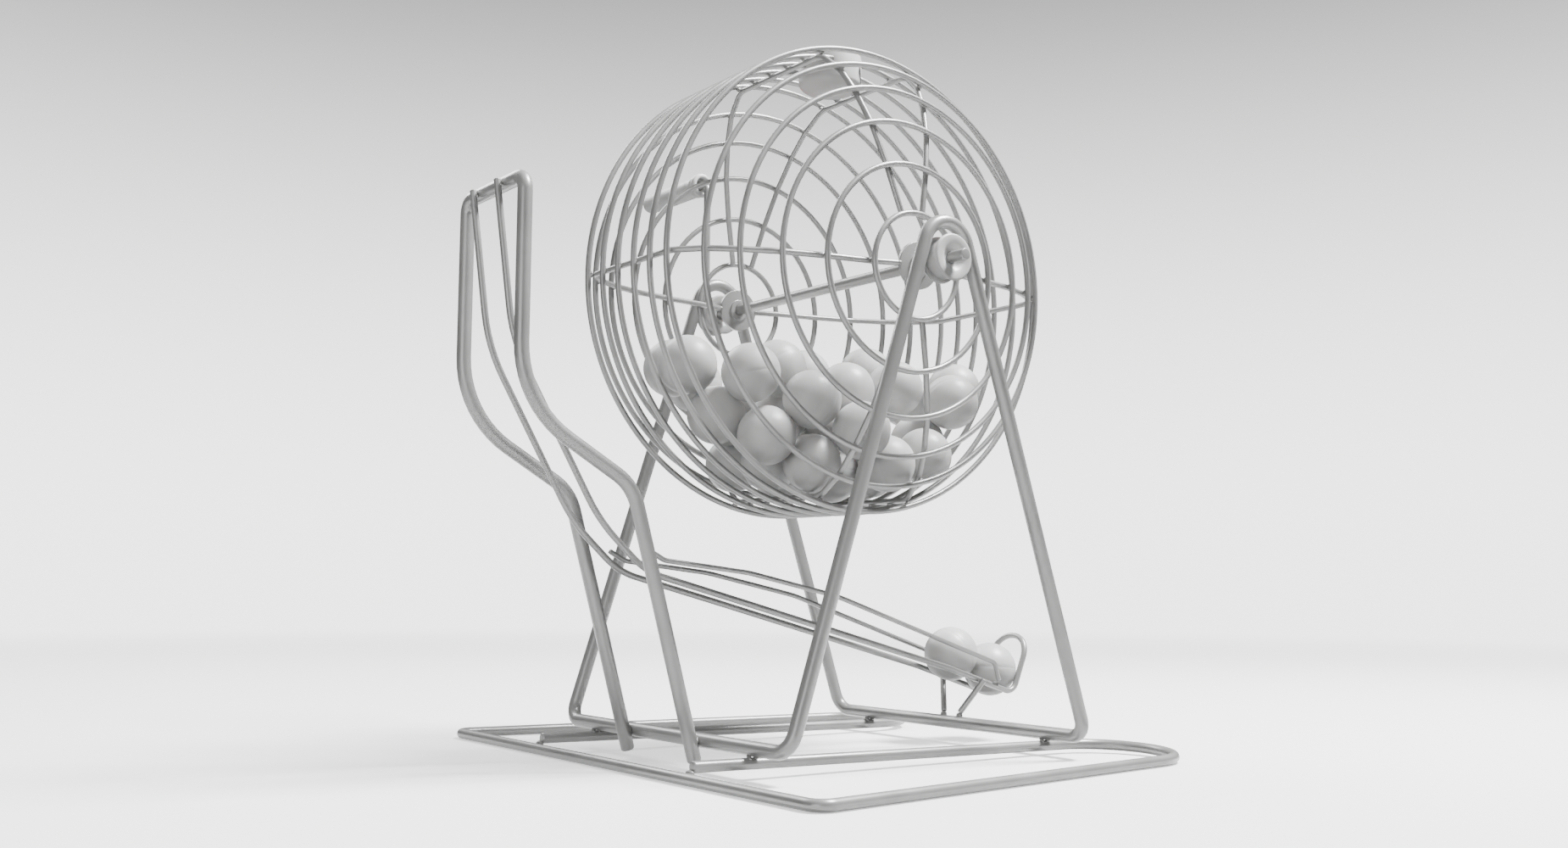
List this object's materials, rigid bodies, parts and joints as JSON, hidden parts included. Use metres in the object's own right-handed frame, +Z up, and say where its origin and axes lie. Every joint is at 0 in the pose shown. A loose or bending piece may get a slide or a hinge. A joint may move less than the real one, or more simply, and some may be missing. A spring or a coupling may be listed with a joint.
{
  "type": "bingo cage",
  "caption": "Table-top wire ball cage: a crank turns a barrel drum of loose balls between two inverted-V legs, and drawn balls roll down a wire track to a stop.",
  "frame": {"origin": "middle of the object's footprint, on the table", "axes": "+Z up, +X the way the track falls, +Y along the axle towards the crank"},
  "size_m": [0.2504, 0.2622, 0.2735],
  "materials": {
    "wire": "pale satin coating on bent steel wire and rod",
    "plastic": "satin moulded plastic",
    "ball": "plain satin moulded balls"
  },
  "bodies": {
    "stand": {"leg_frame": "wire", "front_bushing": "plastic", "back_bushing": "plastic", "base_rod": "wire", "chute_frame": "wire", "track_wire": "wire", "front_guard_wire": "wire", "back_guard_wire": "wire", "front_track_strut": "wire", "back_track_strut": "wire"},
    "drum": {"body_ring_1": "wire", "body_ring_2": "wire", "body_ring_3": "wire", "body_ring_4": "wire", "body_ring_5": "wire", "body_ring_6": "wire", "front_dome_ring_1": "wire", "back_dome_ring_1": "wire", "front_dome_ring_2": "wire", "back_dome_ring_2": "wire", "front_dome_ring_3": "wire", "back_dome_ring_3": "wire", "front_dome_ring_4": "wire", "back_dome_ring_4": "wire", "front_dome_ring_5": "wire", "back_dome_ring_5": "wire", "top_rib_left": "wire", "top_rib_right": "wire", "bottom_rib_left": "wire", "bottom_rib_right": "wire", "level_rib_left": "wire", "level_rib_right": "wire", "front_hub_disc": "wire", "back_hub_disc": "wire", "axle": "wire", "ball_cup": "plastic", "crank_arm": "wire"},
    "grip": {"crank_grip": "plastic"},
    "ball_load": {"cage_ball_1": "ball", "cage_ball_2": "ball", "cage_ball_3": "ball", "cage_ball_4": "ball", "cage_ball_5": "ball", "cage_ball_6": "ball", "cage_ball_7": "ball", "cage_ball_8": "ball", "cage_ball_9": "ball", "cage_ball_10": "ball", "cage_ball_11": "ball", "cage_ball_12": "ball", "cage_ball_13": "ball", "cage_ball_14": "ball", "cage_ball_15": "ball", "cage_ball_16": "ball", "cage_ball_17": "ball", "cage_ball_18": "ball", "cage_ball_19": "ball", "cage_ball_20": "ball"},
    "upper_track_ball": {"track_ball_1": "ball"},
    "lower_track_ball": {"track_ball_2": "ball"}
  },
  "joints": [
    {"name": "drum_spin", "type": "hinge", "parent": "stand", "child": "drum", "pos_m": [0.02054, -0.00487, 0.1805], "axis": [0, 1, 0], "continuous": true},
    {"name": "grip_spin", "type": "hinge", "parent": "drum", "child": "grip", "pos_m": [0.02054, 0.10513, 0.2415], "axis": [0, 1, 0], "continuous": true},
    {"name": "ball_load_swing", "type": "hinge", "parent": "drum", "child": "ball_load", "pos_m": [0.02054, -0.00487, 0.1805], "axis": [0, 1, 0], "range_deg": [-45, 45]},
    {"name": "lower_ball_roll", "type": "slide", "parent": "stand", "child": "lower_track_ball", "axis": [-0.9529, 0, 0.3034], "range_m": [0, 0.025]},
    {"name": "upper_ball_roll", "type": "slide", "parent": "lower_track_ball", "child": "upper_track_ball", "axis": [-0.9529, 0, 0.3034], "range_m": [0, 0.02]}
  ]
}
